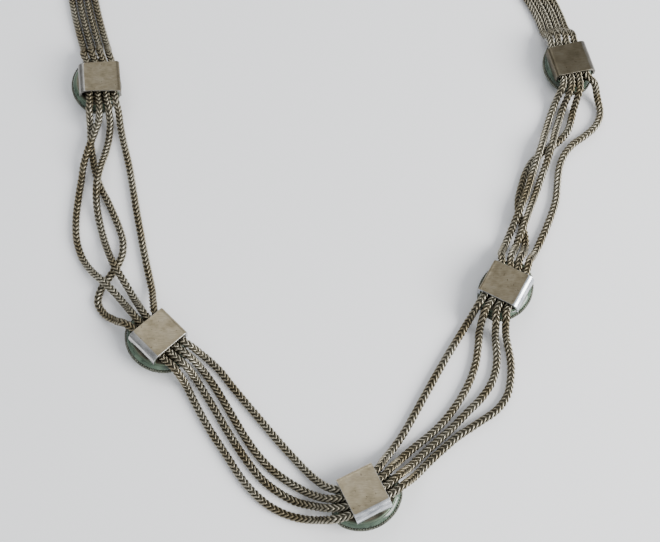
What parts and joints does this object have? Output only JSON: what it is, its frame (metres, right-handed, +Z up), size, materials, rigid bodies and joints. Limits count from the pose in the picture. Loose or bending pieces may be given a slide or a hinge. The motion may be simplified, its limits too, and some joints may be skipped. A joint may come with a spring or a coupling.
{
  "type": "chain necklace",
  "caption": "Foxtail chain necklace of parallel oxidised strands held by oval stone stations, with a bolt-ring clasp lying open.",
  "frame": {"origin": "middle of the necklace's footprint as it lies, on the surface it lies on", "axes": "+Y towards the clasp ends, +Z up out of the stations' backs, +X to the right seen from above"},
  "size_m": [0.1337, 0.2043, 0.007],
  "materials": {
    "chain_silver": "oxidised foxtail silver, bright on the loops and dark between them",
    "satin_silver": "worn satin silver with a warm tarnish",
    "oxidised_silver": "oxidised dark brown silver",
    "green_stone": "polished dark sage-green stone",
    "cap_silver": "satin silver",
    "clasp_silver": "polished silver",
    "spring_steel": "bright spring wire"
  },
  "bodies": {
    "station_3": {"station_3_slide_strap": "satin_silver", "station_3_setting_plate": "oxidised_silver", "station_3_bezel": "oxidised_silver", "station_3_stone": "green_stone", "station_3_strand_a": "chain_silver", "station_3_strand_b": "chain_silver", "station_3_strand_c": "chain_silver", "station_3_strand_d": "chain_silver"},
    "station_2": {"station_2_slide_strap": "satin_silver", "station_2_setting_plate": "oxidised_silver", "station_2_bezel": "oxidised_silver", "station_2_stone": "green_stone", "station_2_strand_a": "chain_silver", "station_2_strand_b": "chain_silver", "station_2_strand_c": "chain_silver", "station_2_strand_d": "chain_silver"},
    "station_1": {"station_1_slide_strap": "satin_silver", "station_1_setting_plate": "oxidised_silver", "station_1_bezel": "oxidised_silver", "station_1_stone": "green_stone", "station_1_strand_a": "chain_silver", "station_1_strand_b": "chain_silver", "station_1_strand_c": "chain_silver", "station_1_strand_d": "chain_silver"},
    "left_end": {"left_end_cap": "cap_silver", "left_end_strand_a": "chain_silver", "left_end_strand_b": "chain_silver", "left_end_strand_c": "chain_silver", "left_end_strand_d": "chain_silver"},
    "clasp_link": {"clasp_jump_ring": "clasp_silver"},
    "clasp_ring": {"clasp_case": "clasp_silver", "clasp_spring": "spring_steel"},
    "clasp_bolt": {"clasp_bolt": "clasp_silver", "clasp_thumb_lever": "clasp_silver"},
    "station_4": {"station_4_slide_strap": "satin_silver", "station_4_setting_plate": "oxidised_silver", "station_4_bezel": "oxidised_silver", "station_4_stone": "green_stone", "station_4_strand_a": "chain_silver", "station_4_strand_b": "chain_silver", "station_4_strand_c": "chain_silver", "station_4_strand_d": "chain_silver"},
    "station_5": {"station_5_slide_strap": "satin_silver", "station_5_setting_plate": "oxidised_silver", "station_5_bezel": "oxidised_silver", "station_5_stone": "green_stone", "station_5_strand_a": "chain_silver", "station_5_strand_b": "chain_silver", "station_5_strand_c": "chain_silver", "station_5_strand_d": "chain_silver"},
    "right_end": {"right_end_cap": "cap_silver", "right_end_strand_a": "chain_silver", "right_end_strand_b": "chain_silver", "right_end_strand_c": "chain_silver", "right_end_strand_d": "chain_silver"},
    "catch": {"catch_ring": "clasp_silver"}
  },
  "joints": [
    {"name": "span_2_fold", "type": "hinge", "parent": "station_3", "child": "station_2", "pos_m": [-0.0145, -0.0785, 0.0009], "axis": [0.6, 0.8, 0], "range_deg": [-45, 45]},
    {"name": "span_1_fold", "type": "hinge", "parent": "station_2", "child": "station_1", "pos_m": [-0.0455, -0.03025, 0.0009], "axis": [0.9621, 0.2727, 0], "range_deg": [-45, 45]},
    {"name": "neck_left_fold", "type": "hinge", "parent": "station_1", "child": "left_end", "pos_m": [-0.0635, 0.052, 0.0009], "axis": [0.9925, -0.1219, 0], "range_deg": [-45, 45]},
    {"name": "span_3_fold", "type": "hinge", "parent": "station_3", "child": "station_4", "pos_m": [0.02325, -0.07275, 0.0009], "axis": [0.8162, -0.5778, 0], "range_deg": [-45, 45]},
    {"name": "span_4_fold", "type": "hinge", "parent": "station_4", "child": "station_5", "pos_m": [0.0485, -0.022, 0.0009], "axis": [0.9487, -0.3162, 0], "range_deg": [-45, 45]},
    {"name": "neck_right_fold", "type": "hinge", "parent": "station_5", "child": "right_end", "pos_m": [0.0455, 0.0425, 0.0009], "axis": [0.8829, 0.4695, 0], "range_deg": [-45, 45]},
    {"name": "link_swing", "type": "hinge", "parent": "left_end", "child": "clasp_link", "pos_m": [-0.03263, 0.08998, 0.0016], "axis": [0.5592, -0.829, 0], "range_deg": [-60, 60]},
    {"name": "clasp_swing", "type": "hinge", "parent": "clasp_link", "child": "clasp_ring", "pos_m": [-0.02931, 0.09222, 0.0016], "axis": [0.5592, -0.829, 0], "range_deg": [-60, 60]},
    {"name": "bolt_travel", "type": "hinge", "parent": "clasp_ring", "child": "clasp_bolt", "pos_m": [-0.0245, 0.09546, 0.00095], "axis": [0, 0, 1], "range_deg": [0, 60], "stiffness_Nm_per_rad": 0.0005, "springref_deg": -20.05, "deforming": ["clasp_spring"]},
    {"name": "catch_swing", "type": "hinge", "parent": "right_end", "child": "catch", "pos_m": [0.0043, 0.09043, 0.0016], "axis": [0.6947, 0.7193, 0], "range_deg": [-45, 60]}
  ]
}
